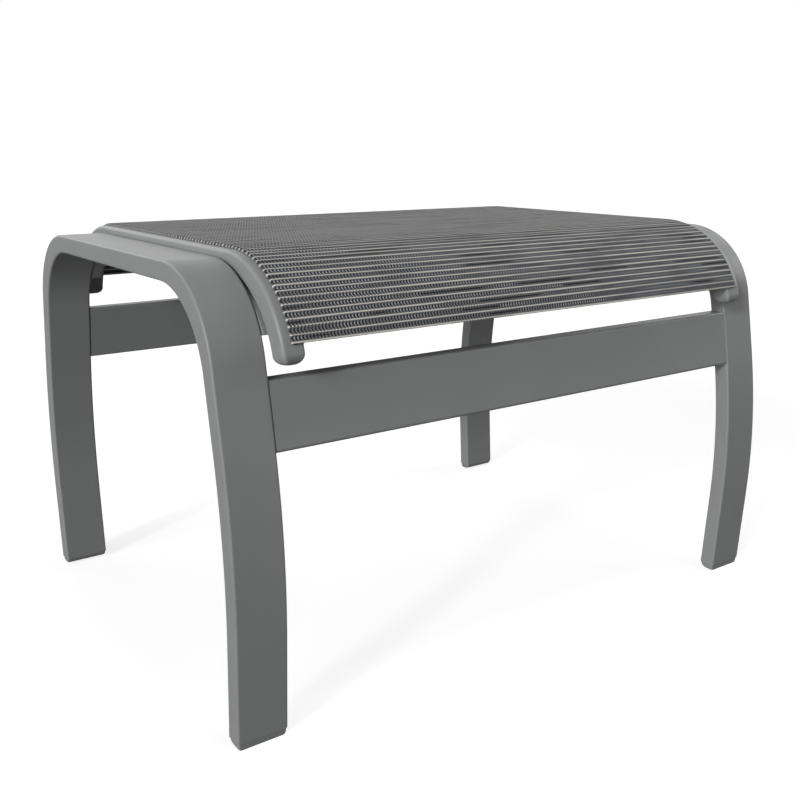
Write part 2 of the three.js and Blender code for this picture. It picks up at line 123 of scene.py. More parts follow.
WANDER_SCALES = (0, 95)
SPECK_SCALES = (16, 5.9)
STREAK_SCALES = (9, 7.3)
DASH_SCALES = (7, 3.7)
CORD_COLOUR = (0.66, 0.62, 0.54, 1)
YARN_COLOUR = (0.15, 0.158, 0.172, 1)
SPECK_COLOUR = (0.5, 0.53, 0.58, 1)
# Painted shade for the weave's openings, and also the black threads' own colour
THREAD_AND_GAP_SHADE_COLOUR = (0.014, 0.014, 0.016, 1)
CORD_HEIGHT_SHARE = 0.4
WEAVE_DEPTH = 0.5 * MM
WEAVE_BUMP = 0.5
WEAVE_ROUGHNESS = 0.8

# The other materials
FRAME_GRAY = (0.252, 0.262, 0.256)
GLIDE_GRAY = (0.235, 0.245, 0.24)
PLUG_GRAY = (0.03, 0.03, 0.032)
ROD_WHITE = (0.6, 0.6, 0.58)
STEEL_COLOUR = (0.45, 0.46, 0.47, 1)
COAT_ROUGHNESS = 0.32
CAP_ROUGHNESS = 0.5
GLIDE_ROUGHNESS = 0.55
PLUG_ROUGHNESS = 0.55
ROD_ROUGHNESS = 0.4
STEEL_ROUGHNESSES = (0.25, 0.45)
SHINE = 0.25
PEEL_SCALE = 900
PEEL_DETAIL = 2
PEEL_DEPTH = 0.2 * MM
PEEL_BUMP = 0.12
CLOUD_SCALE = 14
CLOUD_SHARES = (0.94, 1.06)
BRUSHING_SCALE = 600

# Facets of the round stretches, and the digits of a metre that tell two points apart
BEND_STEPS = 40
LEG_STEPS = 24
LINE_STEPS = 72
CORNER_STEPS = 6
BORE_STEPS = 24
DOME_STEPS = 10
BOW_STEPS = 48
POINT_DIGITS = 7

# Places that several pieces share
FRAME_INBOARD = OVERALL_WIDTH / 2 - TUBE_WIDTH
FRAME_MIDDLE = OVERALL_WIDTH / 2 - TUBE_WIDTH / 2
RAIL_OUTBOARD = FRAME_INBOARD - RAIL_GAP
RAIL_INBOARD = RAIL_OUTBOARD - RAIL_WIDTH
SLOT_MIDDLE = RAIL_OUTBOARD - SLOT_SETBACK
RAIL_TOP = FRAME_HEIGHT + RAIL_RISE
CARRIER_MIDDLE = FRAME_INBOARD - GAP - CARRIER_WIDTH / 2
STRETCHER_TOP = FRAME_HEIGHT - STRETCHER_DROP
CHAMBER_TOP = BORE_DEPTH + BORE_DIAMETER / 2 + RAIL_WALL
CHAMBER_BOTTOM = RAIL_DEPTH - RAIL_WALL
SPREADER_LENGTH = 2 * (RAIL_INBOARD - GAP)
SPREADER_MIDDLE = RAIL_TOP - (CHAMBER_TOP + CHAMBER_BOTTOM) / 2
SPREADER_BOWED_HALF = SPREADER_LENGTH / 2 - SPREADER_STRAIGHT_END
CAP_SEAT = HEM_MARGIN + CAP_SEAM
CAP_BODY_END = HEM_MARGIN + GAP + CAP_BODY_LENGTH
QUARTER_TURN = pi / 2
SIDES = {"left": -1, "right": 1}
ENDS = {"front": -1, "rear": 1}

# The rail's face inboard of its slot lies right under the sling, and stands higher than its bare
# face outboard of the slot, so the drop from that to the covered face is less than nothing.
COVERED_FACE_DROP = SLING_THICKNESS + GAP - FOLD_RISE

# The photograph's camera
CAMERA_PLACE = (-0.6750, -0.9593, 0.5231)
CAMERA_AZIMUTH = radians(35.565)
CAMERA_PITCH = radians(-14.564)
CAMERA_ROLL = radians(0.079)
CAMERA_LENS = 43.82
CAMERA_SHIFT = (-0.0085, -0.0019)

# The studio: what floor and sky give the object, and what the camera sees of the floor
FLOOR_REACH = 30
FLOOR_COLOUR = (0.25, 0.25, 0.25, 1)
FLOOR_SEEN_COLOUR = (0.5, 0.5, 0.5, 1)
FLOOR_GLOW = (0.75, 0.75, 0.75, 1)
SKY_COLOUR = (0.072, 0.072, 0.072, 1)
BLACK = (0, 0, 0, 1)
WHITE = (1, 1, 1, 1)

# Each lamp's azimuth from +Y towards +X, elevation and spread in degrees, and share of the light
LAMPS = {
    "window": (250, 10, 45, 0.87),
    "edge_light": (246, 24, 6, 0.26),
    "overhead": (149, 79, 12, 0.12),
    "softbox": (115, 28, 25, 0.14),
    "side_fill": (85, 16, 40, 0.23),
    "rear_fill": (345, 30, 40, 0.12),
}


# Lines in the YZ plane are lists of stations (y, z, angle), with the angle of the outward
# normal counted from straight up towards +Y. A rear half runs from the top to its rear end.


def on_arc(centre_y, centre_z, radius, angle):
    return (centre_y + radius * sin(angle), centre_z + radius * cos(angle), angle)


def arc_stations(centre_y, centre_z, radius, start, finish, steps):
    turn = finish - start
    return [on_arc(centre_y, centre_z, radius, start + turn * i / steps) for i in range(steps + 1)]


def onward(station, distance):
    """A station moved straight on, away from the top."""
    y, z, angle = station
    return (y + distance * cos(angle), z - distance * sin(angle), angle)


def sunk(station, depth):
    """A station moved against its outward normal."""
    y, z, angle = station
    return (y - depth * sin(angle), z - depth * cos(angle), angle)


def between(first, second, share):
    return tuple(a + (b - a) * share for a, b in zip(first, second))


def down_to(height, line):
    """The part of a rear half above a height, carried on straight if it ends above that."""
    kept = [station for station in line if station[1] > height]
    last = kept[-1]
    beyond = line[len(kept)] if len(kept) < len(line) else onward(last, FRAME_HEIGHT)
    return kept + [between(last, beyond, (last[1] - height) / (last[1] - beyond[1]))]


def reached_along(line):
    """How far along a line each of its stations lies."""
    reached = [0.0]
    for first, second in zip(line, line[1:]):
        reached.append(reached[-1] + dist(first[:2], second[:2]))
    return reached


def resampled(line, steps):
    """A line's stations, spaced evenly along it."""
    reached = reached_along(line)
    stations = []
    at = 0
    for i in range(steps + 1):
        wanted = reached[-1] * i / steps
        while at < len(line) - 2 and reached[at + 1] < wanted:
            at += 1
        share = (wanted - reached[at]) / (reached[at + 1] - reached[at])
        stations.append(between(line[at], line[at + 1], min(share, 1)))
    return stations


def whole_line(rear_half):
    """A rear half and its mirror image, from the rear end to the front end."""
    front_half = [(-y, z, -angle) for y, z, angle in rear_half]
    return rear_half[::-1] + front_half


def frame_line(depth, radius):
    """The rear half of a side frame's line at a depth below its outer surface."""
    bend_end = on_arc(BEND_START, FRAME_HEIGHT - BEND_RADIUS, BEND_RADIUS, BEND_ANGLE)
    leg_top = sunk(bend_end, depth)
    centre_z = FRAME_HEIGHT - depth - radius
    reach = (leg_top[1] - centre_z) * cos(BEND_ANGLE) - radius
    centre_y = leg_top[0] + reach / sin(BEND_ANGLE)
    leg_centre = sunk(onward(bend_end, LEG_STRAIGHT), LEG_CURVE_RADIUS)
    leg_end = BEND_ANGLE + LEG_CURVE_ANGLE
    bend = arc_stations(centre_y, centre_z, radius, 0, BEND_ANGLE, BEND_STEPS)
    leg_radius = LEG_CURVE_RADIUS - depth
    leg = arc_stations(leg_centre[0], leg_centre[1], leg_radius, BEND_ANGLE, leg_end, LEG_STEPS)
    return bend + leg


def outer_line(inset):
    return frame_line(inset, BEND_RADIUS - inset)


def inner_line(inset):
    return frame_line(TUBE_THICKNESS - inset, INSIDE_BEND_RADIUS + inset)


def side_line(surface, inset):
    """A whole line of the side frame's tube, cut off level at the glides."""
    line = outer_line(inset) if surface == "upper" else inner_line(inset)
    bend = line[: BEND_STEPS + 1]
    leg = resampled(down_to(GLIDE_HEIGHT, line[BEND_STEPS:]), LEG_STEPS)
    return whole_line(bend + leg[1:])


def rail_line(past_hem):
    """The rear half of the line along a rail's top, to a length past the sling's hem."""
    hem_angle = acos(1 - (RAIL_RISE + SLING_HEM_DROP) / RAIL_BEND_RADIUS)
    finish = hem_angle + past_hem / RAIL_BEND_RADIUS
    centre_z = RAIL_TOP - RAIL_BEND_RADIUS
    return arc_stations(RAIL_BEND_START, centre_z, RAIL_BEND_RADIUS, 0, finish, BEND_STEPS)


# A section is a list of spots (x, surface, inset, turn). A spot lies at an inset from one of
# the piece's surfaces, and turn is its normal's angle from outward towards +X.
CORNER_ORDER = {(1, False): 0, (1, True): 1, (-1, True): 2, (-1, False): 3}


def corner(sign, surface, edge_x, radius, drop=0):
    """The spots round one corner, in clockwise order seen from the front."""
    start = QUARTER_TURN * CORNER_ORDER[sign, surface == "lower"]
    spots = []
    for i in range(CORNER_STEPS + 1):
        turn = start + QUARTER_TURN * i / CORNER_STEPS
        x = edge_x - sign * radius + radius * sin(turn)
        spots.append((x, surface, drop + radius * (1 - abs(cos(turn))), turn))
    return spots


def rounded_section(left, right, radius):
    return (
        corner(1, "upper", right, radius)
        + corner(1, "lower", right, radius)
        + corner(-1, "lower", left, radius)
        + corner(-1, "upper", left, radius)
    )


def rail_corners(drop):
    """The right rail's corners about its slot, with the inboard upper one set down by a drop."""
    left = SLOT_SETBACK - RAIL_WIDTH
    return (
        corner(1, "upper", SLOT_SETBACK, RAIL_EDGE_RADIUS)
        + corner(1, "lower", SLOT_SETBACK, RAIL_CORNER_RADIUS)
        + corner(-1, "lower", left, RAIL_CORNER_RADIUS)
        + corner(-1, "upper", left, RAIL_EDGE_RADIUS, drop)
    )


def round_spots(radius, opening, facing):
    """The spots round the bore's middle, but for an opening at its top of that angle either way.

    Facing is 0 for normals that point away from the middle, and pi for normals towards it.
    """
    spots = []
    for i in range(BORE_STEPS + 1):
        turn = -opening - (2 * pi - 2 * opening) * i / BORE_STEPS
        spots.append((radius * sin(turn), "core", BORE_DEPTH - radius * cos(turn), turn + facing))
    return spots


def rail_section():
    """The right rail's section about its slot, with the slot and the bore."""
    lip = SLOT_WIDTH / 2
    radius = BORE_DIAMETER / 2
    opening = asin(lip / radius)
    neck = BORE_DEPTH - radius * cos(opening)
    return (
        rail_corners(COVERED_FACE_DROP)
        + corner(1, "upper", -lip, SLOT_LIP_RADIUS, COVERED_FACE_DROP)
        + [(-lip, "core", neck, QUARTER_TURN)]
        + round_spots(radius, opening, pi)
        + [(lip, "core", neck, 3 * QUARTER_TURN)]
        + corner(-1, "upper", lip, SLOT_LIP_RADIUS)
    )


# A shell collects the faces of a piece, with the normal of each of their corners


def new_shell():
    return {"points": [], "index": {}, "faces": [], "normals": [], "cloth": []}


def point_index(shell, point):
    key = tuple(round(value, POINT_DIGITS) for value in point)
    if key not in shell["index"]:
        shell["index"][key] = len(shell["points"])
        shell["points"].append(point)
    return shell["index"][key]


def add_face(shell, corners):
    """Adds a face of corners (point, normal, cloth), turned so that it faces along the normals.

    A face that has shrunk to a line or a point is left out.
    """
    indexes = [point_index(shell, point) for point, _, _ in corners]
    kept = [i for i, index in enumerate(indexes) if index != indexes[i - 1]]
    if len(kept) < 3:
        return
    points = [Vector(corners[i][0]) for i in kept]
    facing = Vector((0, 0, 0))
    for i, point in enumerate(points):
        facing += point.cross(points[(i + 1) % len(points)])
    wanted = sum((Vector(corners[i][1]) for i in kept), Vector((0, 0, 0)))
    if facing.dot(wanted) < 0:
        kept.reverse()
    shell["faces"].append([indexes[i] for i in kept])
    shell["normals"].extend(corners[i][1] for i in kept)
    shell["cloth"].extend(corners[i][2] for i in kept)


def add_grid(shell, rows, closed):
    """Adds the faces between rows of corners. The last row meets the first if closed."""
    pairs = list(zip(rows, rows[1:]))
    if closed:
        pairs.append((rows[-1], rows[0]))
    for first, second in pairs:
        for i in range(len(first) - 1):
            add_face(shell, [first[i], first[i + 1], second[i + 1], second[i]])


def add_flat(shell, loops, normal):
    """Adds a flat end of one outline, or of an outline and the outlines of its holes."""
    spread = [corner_at for loop in loops for corner_at in loop]
    triangles = tessellate_polygon([[Vector(point) for point, _, _ in loop] for loop in loops])
    for triangle in triangles:
        add_face(shell, [(spread[i][0], normal, spread[i][2]) for i in triangle])


def end_normal(rear_end, end):
    """The direction in which a sweep's front or rear end faces, from the station at its rear end."""
    angle = rear_end[2]
    return (0, end * cos(angle), -sin(angle))


def add_sweep_ends(shell, grids, rear_end):
    """Closes both ends of a sweep along a rail. The grids after the first are holes in it."""
    for at, end in ((0, 1), (-1, -1)):
        loops = [[row[at] for row in grid] for grid in grids]
        add_flat(shell, loops, end_normal(rear_end, end))


def add_side_ends(shell, rows):
    """Closes the left and right ends of rows that run along X."""
    for at, outward in ((0, -1), (-1, 1)):
        add_flat(shell, [[row[at] for row in rows]], (outward, 0, 0))


def finished(shell, name, material, nodes):
    """Makes a shell into a piece with its own normals that stands for CAD nodes."""
    mesh = bpy.data.meshes.new(name)
    mesh.from_pydata(shell["points"], [], shell["faces"])
    mesh.polygons.foreach_set("use_smooth", [True] * len(mesh.polygons))
    mesh.normals_split_custom_set([Vector(normal).normalized() for normal in shell["normals"]])
    layer = mesh.uv_layers.new(name="cloth")
    layer.data.foreach_set("uv", [value for pair in shell["cloth"] for value in pair])
    mesh.materials.append(material)
    made = bpy.data.objects.new(name, mesh)
    bpy.context.scene.collection.objects.link(made)
    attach(made, "root")
    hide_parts(*nodes)
    return made


def corner_on(station, x, turn, side, along):
    """A corner at a station and an X, with its normal and its place on the cloth."""
    y, z, angle = station
    normal = (side * sin(turn), cos(turn) * sin(angle), cos(turn) * cos(angle))
    return ((x, y, z), normal, (side * x, along))


def lengths_along(line):
    """How far each station lies along a whole line, counted from the line's middle."""
    reached = reached_along(line)
    return [value - reached[-1] / 2 for value in reached]


def section_rows(section, line_at, middle_x, side):
    """The rows of corners along the lines of a section's spots."""
    rows = []
    lengths = lengths_along(line_at("upper", 0))
    for x, surface, inset, turn in section:
        line = line_at(surface, inset)
        row = [
            corner_on(station, middle_x + side * x, turn, side, along)
            for station, along in zip(line, lengths)
        ]
        rows.append(row)
    return rows


# Side frames


def side_frame(side_name, material):
    """A bent tube, open at its two feet."""
    side = SIDES[side_name]
    shell = new_shell()
    middle = side * FRAME_MIDDLE
    half = TUBE_WIDTH / 2
    skin = section_rows(rounded_section(-half, half, TUBE_CORNER_RADIUS), side_line, middle, side)
    inside = half - TUBE_WALL
    hollow_spots = [
        (x, surface, TUBE_WALL + inset, turn + pi)
        for x, surface, inset, turn in rounded_section(-inside, inside, HOLLOW_CORNER_RADIUS)
    ]
    hollow = section_rows(hollow_spots, side_line, middle, side)
    add_grid(shell, skin, True)
    add_grid(shell, hollow, True)
    for at in (0, -1):
        down = (0, 0, -1)
        rims = [[(row[at][0], down, row[at][2]) for row in rows] for rows in (skin, hollow)]
        for i in range(len(rims[0])):
            add_face(shell, [rims[0][i - 1], rims[0][i], rims[1][i], rims[1][i - 1]])
    name = "side_frame_" + side_name
    return finished(shell, "coated_" + name, material, [name])


# Stretchers


def reach_at(height, line):
    """How far to the rear a line is at a height."""
    return down_to(height, line)[-1][0]


def stretcher_corners():
    """The corners (y, z) of the rear stretcher's leaning section."""
    bottom = STRETCHER_TOP - STRETCHER_HEIGHT
    outer = outer_line(STRETCHER_INSET)
    inner = inner_line(STRETCHER_INSET)
    return [
        Vector((reach_at(bottom, inner), bottom)),
        Vector((reach_at(bottom, outer), bottom)),
        Vector((reach_at(STRETCHER_TOP, outer), STRETCHER_TOP)),
        Vector((reach_at(STRETCHER_TOP, inner), STRETCHER_TOP)),
    ]


def rectangle(left, right, low, high):
    """The corners of a rectangle, counter-clockwise."""
    return [Vector((left, low)), Vector((right, low)), Vector((right, high)), Vector((left, high))]


def rounded_outline(corners, radius):
    """Points with normals round a flat outline that runs counter-clockwise."""
    outline = []
    for i, at in enumerate(corners):
        back = (corners[i - 1] - at).normalized()
        ahead = (corners[(i + 1) % len(corners)] - at).normalized()
        half_angle = acos(max(-1, min(1, back.dot(ahead)))) / 2
        centre = at + (back + ahead).normalized() * radius / sin(half_angle)
        first = Vector((-back.y, back.x))
        second = Vector((ahead.y, -ahead.x))
        for step in range(CORNER_STEPS + 1):
            normal = first.slerp(second, step / CORNER_STEPS)
            outline.append((centre + normal * radius, normal))
    return outline


def stretcher(end_name, material):
    end = ENDS[end_name]
    half = FRAME_INBOARD - GAP
    shell = new_shell()
    rows = []
    for point, normal in rounded_outline(stretcher_corners(), STRETCHER_CORNER_RADIUS):
        facing = (0, end * normal.x, normal.y)
        rows.append([((x, end * point.x, point.y), facing, (x, point.y)) for x in (-half, half)])
    add_grid(shell, rows, True)
    add_side_ends(shell, rows)
    name = end_name + "_stretcher"
    return finished(shell, "coated_" + name, material, [name])


# Sling rails and their end caps


def bulge_at(station):
    """How far the cloth and the rail's outer face stand above the rail's line towards the hems."""
    return SLING_BULGE * sin(station[2]) ** SLING_BULGE_POWER


def rail_line_at(past_hem):
    """Whole lines of a rail: in the cloth, in its outer and under surfaces, and round its core."""

    def line_at(surface, inset):
        line = []
        for station in rail_line(past_hem):
            depths = {
                "cloth": inset - bulge_at(station),
                "upper": inset + FOLD_RISE - bulge_at(station),
                "core": inset,
                "lower": RAIL_DEPTH - inset,
            }
            line.append(sunk(station, depths[surface]))
        return whole_line(line)

    return line_at


def sling_rail(side_name, material):
    side = SIDES[side_name]
    shell = new_shell()
    rows = section_rows(rail_section(), rail_line_at(HEM_MARGIN), side * SLOT_MIDDLE, side)
    add_grid(shell, rows, True)
    add_sweep_ends(shell, [rows], rail_line(HEM_MARGIN)[-1])
    name = "sling_rail_" + side_name
    return finished(shell, "coated_" + name, material, [name])


def cap_rings(side, end):
    """The rings of an end cap: its seat, the end of its body, and the dome."""
    middle = SLOT_SETBACK - RAIL_WIDTH / 2
    top = FOLD_RISE - bulge_at(rail_line(0)[-1])
    middle_depth = (top + RAIL_DEPTH) / 2
    height = RAIL_DEPTH - top
    stages = [(CAP_SEAT, 0)]
    for i in range(DOME_STEPS + 1):
        turn = QUARTER_TURN * i / DOME_STEPS
        stages.append((CAP_BODY_END + CAP_DOME_LENGTH * sin(turn), turn))
    rings = []
    for past_hem, turn in stages:
        station = rail_line(past_hem)[-1]
        angle = station[2]
        shrink = CAP_ROUNDING * (1 - cos(turn))
        around = CAP_DOME_LENGTH * cos(turn)
        along = CAP_ROUNDING * sin(turn)
        ring = []
        for x, surface, inset, facing in rail_corners(0):
            depth = top + inset if surface == "upper" else RAIL_DEPTH - inset
            narrowed = middle + (x - middle) * (1 - 2 * shrink / RAIL_WIDTH)
            raised = middle_depth + (depth - middle_depth) * (1 - 2 * shrink / height)
            radial = cos(facing) * around
            normal = (
                side * sin(facing) * around,
                end * (radial * sin(angle) + along * cos(angle)),
                radial * cos(angle) - along * sin(angle),
            )
            y, z, _ = sunk(station, raised)
            point = (side * (SLOT_MIDDLE + narrowed), end * y, z)
            ring.append((point, normal, (narrowed, past_hem)))
        rings.append(ring)
    return rings


def rail_end_cap(side_name, end_name, material):
    side = SIDES[side_name]
    end = ENDS[end_name]
    shell = new_shell()
    rings = cap_rings(side, end)
    add_grid(shell, [ring + ring[:1] for ring in rings], False)
    seat_normal = [-value for value in end_normal(rail_line(CAP_SEAT)[-1], end)]
    tip_normal = end_normal(rail_line(CAP_BODY_END + CAP_DOME_LENGTH)[-1], end)
    add_flat(shell, [rings[0]], seat_normal)
    add_flat(shell, [rings[-1]], tip_normal)
    name = "_".join(["rail_end_cap", end_name, side_name])
    return finished(shell, "moulded_" + name, material, [name])


# Carriers


def carrier_line(surface, inset):
    """A whole line of a carrier, between the rail above and the side frame below."""
    if surface == "upper":
        line = [sunk(station, RAIL_DEPTH + GAP + inset) for station in rail_line(0)]
    else:
        line = inner_line(CARRIER_INSET + inset)
    return whole_line(resampled(down_to(FRAME_HEIGHT - CARRIER_END_DROP, line), LINE_STEPS))


def rail_carrier(side_name, material):
    side = SIDES[side_name]
    shell = new_shell()
    half = CARRIER_WIDTH / 2
    section = rounded_section(-half, half, CARRIER_EDGE_RADIUS)
    rows = section_rows(section, carrier_line, side * CARRIER_MIDDLE, side)
    add_grid(shell, rows, True)
    for at in (0, -1):
        add_flat(shell, [[row[at] for row in rows]], (0, 0, -1))
    name = "rail_carrier_" + side_name
    return finished(shell, "coated_" + name, material, [name])


# Foot glides


def glide_ring(heel_y, toe_y, z, tilt):
    """A level rounded rectangle about x = 0, drawn in and leaning down by a tilt."""
    drawn_in = 1 - cos(tilt)
    half = TUBE_WIDTH / 2 - GLIDE_INSET - GLIDE_END_ROUNDING * drawn_in
    low = heel_y + GLIDE_HEEL_ROUNDING * drawn_in
    high = toe_y - GLIDE_TOE_ROUNDING * drawn_in
    level = GLIDE_ROUNDING_HEIGHT * cos(tilt)
    ring = []
    for point, normal in rounded_outline(rectangle(-half, half, low, high), GLIDE_EDGE_RADIUS):
        rounding = GLIDE_HEEL_ROUNDING if normal.y < 0 else GLIDE_TOE_ROUNDING
        rounding += (GLIDE_END_ROUNDING - rounding) * abs(normal.x)
        facing = (normal.x * level, normal.y * level, -rounding * sin(tilt))
        ring.append(((point.x, point.y, z), facing, (point.x, point.y)))
    return ring


def glide_base_rings():
    """The rings of a rear glide's base, from its top down to the flat that it stands on."""
    heel_y = reach_at(GLIDE_HEIGHT, inner_line(0)) + GLIDE_INSET
    toe_y = reach_at(GLIDE_HEIGHT, outer_line(0)) - GLIDE_INSET
    rings = [glide_ring(heel_y, toe_y, GLIDE_HEIGHT - GAP, 0)]
    for i in range(DOME_STEPS + 1):
        tilt = QUARTER_TURN * i / DOME_STEPS
        rings.append(glide_ring(heel_y, toe_y, GLIDE_ROUNDING_HEIGHT * (1 - sin(tilt)), tilt))
    return rings


def glide_plug_rings():
    """The rings at both ends of a rear glide's plug, which leans with the tube."""
    inset = TUBE_WALL + GAP
    half = TUBE_WIDTH / 2 - inset
    rings = []
    for z in (GLIDE_HEIGHT - GAP, GLIDE_HEIGHT + GLIDE_PLUG_LENGTH):
        low = reach_at(z, inner_line(inset))
        high = reach_at(z, outer_line(inset))
        outline = rounded_outline(rectangle(-half, half, low, high), HOLLOW_CORNER_RADIUS)
        rings.append([((p.x, p.y, z), (n.x, n.y, 0), (p.x, z)) for p, n in outline])
    return rings


def at_foot(ring, side, end):
    """A ring about x = 0 of a rear glide, brought to its own foot."""
    return [
        ((side * FRAME_MIDDLE + p[0], end * p[1], p[2]), (n[0], end * n[1], n[2]), cloth)
        for p, n, cloth in ring
    ]


def foot_glide(side_name, end_name, material):
    """A base with a long rounding under its heel, and a plug up the tube."""
    side = SIDES[side_name]
    end = ENDS[end_name]
    base = [at_foot(ring, side, end) for ring in glide_base_rings()]
    plug = [at_foot(ring, side, end) for ring in glide_plug_rings()]
    shell = new_shell()
    for rings in (base, plug):
        add_grid(shell, [ring + ring[:1] for ring in rings], False)
    add_flat(shell, [base[-1]], (0, 0, -1))
    add_flat(shell, [base[0], plug[0]], (0, 0, 1))
    add_flat(shell, [plug[-1]], (0, 0, 1))
    name = "_".join(["foot_glide", end_name, side_name])
    return finished(shell, "moulded_" + name, material, [name])


# Spreader bars


def spreader_stations():
    """Places (x, drop) along a bar: level at its ends, and bowed down in between."""
    stations = [(-SPREADER_LENGTH / 2, 0)]
    for i in range(BOW_STEPS + 1):
        share = 2 * i / BOW_STEPS - 1
        drop = SPREADER_BOW * (1 + cos(pi * share)) / 2
        stations.append((SPREADER_BOWED_HALF * share, drop))
    return stations + [(SPREADER_LENGTH / 2, 0)]


def slope_at(x):
    """The slope of a bar at an X."""
    if abs(x) >= SPREADER_BOWED_HALF:
        return 0
    return SPREADER_BOW * pi * sin(pi * x / SPREADER_BOWED_HALF) / (2 * SPREADER_BOWED_HALF)


def spreader_bar(end_name, material):
    end = ENDS[end_name]
    half_width = SPREADER_WIDTH / 2
    half_height = SPREADER_HEIGHT / 2
    corners = rectangle(-half_width, half_width, -half_height, half_height)
    rows = []
    for point, normal in rounded_outline(corners, SPREADER_CORNER_RADIUS):
        row = []
        for x, drop in spreader_stations():
            at = (x, end * (SPREADER_SPACING / 2 + point.x), SPREADER_MIDDLE + point.y - drop)
            facing = (-slope_at(x) * normal.y, end * normal.x, normal.y)
            row.append((at, facing, (x, point.x)))
        rows.append(row)
    shell = new_shell()
    add_grid(shell, rows, True)
    add_side_ends(shell, rows)
    name = "spreader_bar_" + end_name
    return finished(shell, "coated_" + name, material, [name])


# Sling


def pocket_spots():
    """The right half of the sling's section about the slot, from the underside to the top."""
    radius = ROD_DIAMETER / 2 + GAP + SLING_THICKNESS
    opening = asin(SLING_THICKNESS / radius)
    spots = [(-SLING_THICKNESS, "cloth", SLING_THICKNESS, turn) for turn in (pi, -QUARTER_TURN)]
    spots += round_spots(radius, opening, 0)
    spots.append((SLING_THICKNESS, "core", BORE_DEPTH - radius * cos(opening), QUARTER_TURN))
    fold_bottom = FOLD_RISE - GAP
    spots += [(SLING_THICKNESS, "cloth", fold_bottom, turn) for turn in (QUARTER_TURN, pi)]
    spots += [(FOLD_REACH, "cloth", fold_bottom, turn) for turn in (pi, QUARTER_TURN)]
    return spots + corner(1, "cloth", FOLD_REACH, FOLD_RADIUS)[::-1]


def sling_rows():
    """The rows of the whole sling, with X as their place across the cloth on both sides."""
    half = pocket_spots()
    line_at = rail_line_at(0)
    right = section_rows(half, line_at, SLOT_MIDDLE, 1)
    left = section_rows(half, line_at, -SLOT_MIDDLE, -1)
    left = [[(point, normal, (point[0], cloth[1])) for point, normal, cloth in row] for row in left]
    return right + left[::-1]


def rod_rows(side):
    """The rows of the hole that a rod leaves in a pocket."""
    radius = ROD_DIAMETER / 2 + GAP
    spots = []
    for i in range(BORE_STEPS):
        turn = 2 * pi * i / BORE_STEPS
        spots.append((radius * sin(turn), "core", BORE_DEPTH - radius * cos(turn), turn + pi))
    return section_rows(spots, rail_line_at(0), side * SLOT_MIDDLE, side)


def sling(material):
    shell = new_shell()
    rows = sling_rows()
    holes = [rod_rows(side) for side in SIDES.values()]
    add_grid(shell, rows, True)
    for hole in holes:
        add_grid(shell, hole, True)
    add_sweep_ends(shell, [rows, *holes], rail_line(0)[-1])
    made = finished(shell, "woven_sling", material, ["sling"])
    length = 2 * lengths_along(whole_line(rail_line(0)))[-1]
    return made


# Materials. A tree holds the nodes and links of a material or of the world.


def new_material(name):
    material = bpy.data.materials.new(name)
    material.use_nodes = True
    return material, material.node_tree, material.node_tree.nodes["Principled BSDF"]


def feed(tree, socket, value):
    """Gives a socket a value of its own, or another node's result."""
    if isinstance(value, bpy.types.NodeSocket):
        tree.links.new(value, socket)
    else:
        socket.default_value = value


def maths(tree, operation, *values):
    """The result of an operation on numbers or on other nodes' results."""
    node = tree.nodes.new("ShaderNodeMath")
    node.operation = operation
    for socket, value in zip(node.inputs, values):
        feed(tree, socket, value)
    return node.outputs["Value"]


def blended(tree, factor, first, second):
    """A mix of two colours, or of other nodes' results, by a factor."""
    mix = tree.nodes.new("ShaderNodeMix")
    mix.data_type = "RGBA"
    for name, value in {"Factor": factor, "A": first, "B": second}.items():
        feed(tree, mix.inputs[name], value)
    return mix.outputs["Result"]


def noise_node(tree, place, scale):
    node = tree.nodes.new("ShaderNodeTexNoise")
    node.inputs["Scale"].default_value = scale
    tree.links.new(place, node.inputs["Vector"])
    return node


def stretched_noise(tree, place, scales):
    """Noise with its own scales across and along the cloth."""
    mapping = tree.nodes.new("ShaderNodeMapping")
    mapping.inputs["Scale"].default_value = (*scales, 1)
    tree.links.new(place, mapping.inputs["Vector"])
    node = noise_node(tree, mapping.outputs["Vector"], 1)
    node.noise_dimensions = "2D"
    node.inputs["Detail"].default_value = 0
    return node.outputs["Fac"]


def more(tree, value, limits):
    """A share that rises smoothly from 0 to 1 between two limits."""
    step = tree.nodes.new("ShaderNodeMapRange")
    step.interpolation_type = "SMOOTHSTEP"
    for name, limit in zip(("From Min", "From Max"), limits):
        step.inputs[name].default_value = limit
    tree.links.new(value, step.inputs["Value"])
    return step.outputs["Result"]


def less(tree, value, limits):
    """A share that falls smoothly from 1 to 0 between two limits."""
    return maths(tree, "SUBTRACT", 1, more(tree, value, limits))


def add_bump(tree, shader, height, strength, depth):
    bump = tree.nodes.new("ShaderNodeBump")
    bump.inputs["Strength"].default_value = strength
    bump.inputs["Distance"].default_value = depth
    tree.links.new(height, bump.inputs["Height"])
    tree.links.new(bump.outputs["Normal"], shader.inputs["Normal"])


def powder_coat(name, colour, roughness):
    """Powder coat or moulded plastic: a fine orange peel and a trace of unevenness in its colour."""
    material, tree, shader = new_material(name)
    shader.inputs["Roughness"].default_value = roughness
    shader.inputs["Specular IOR Level"].default_value = SHINE
    place = tree.nodes.new("ShaderNodeTexCoord").outputs["Object"]
    peel = noise_node(tree, place, PEEL_SCALE)
    peel.inputs["Detail"].default_value = PEEL_DETAIL
    add_bump(tree, shader, peel.outputs["Fac"], PEEL_BUMP, PEEL_DEPTH)
    cloud = noise_node(tree, place, CLOUD_SCALE)
    darker, lighter = [(*[share * value for value in colour], 1) for share in CLOUD_SHARES]
    tint = blended(tree, cloud.outputs["Fac"], darker, lighter)
    tree.links.new(tint, shader.inputs["Base Color"])
    return material


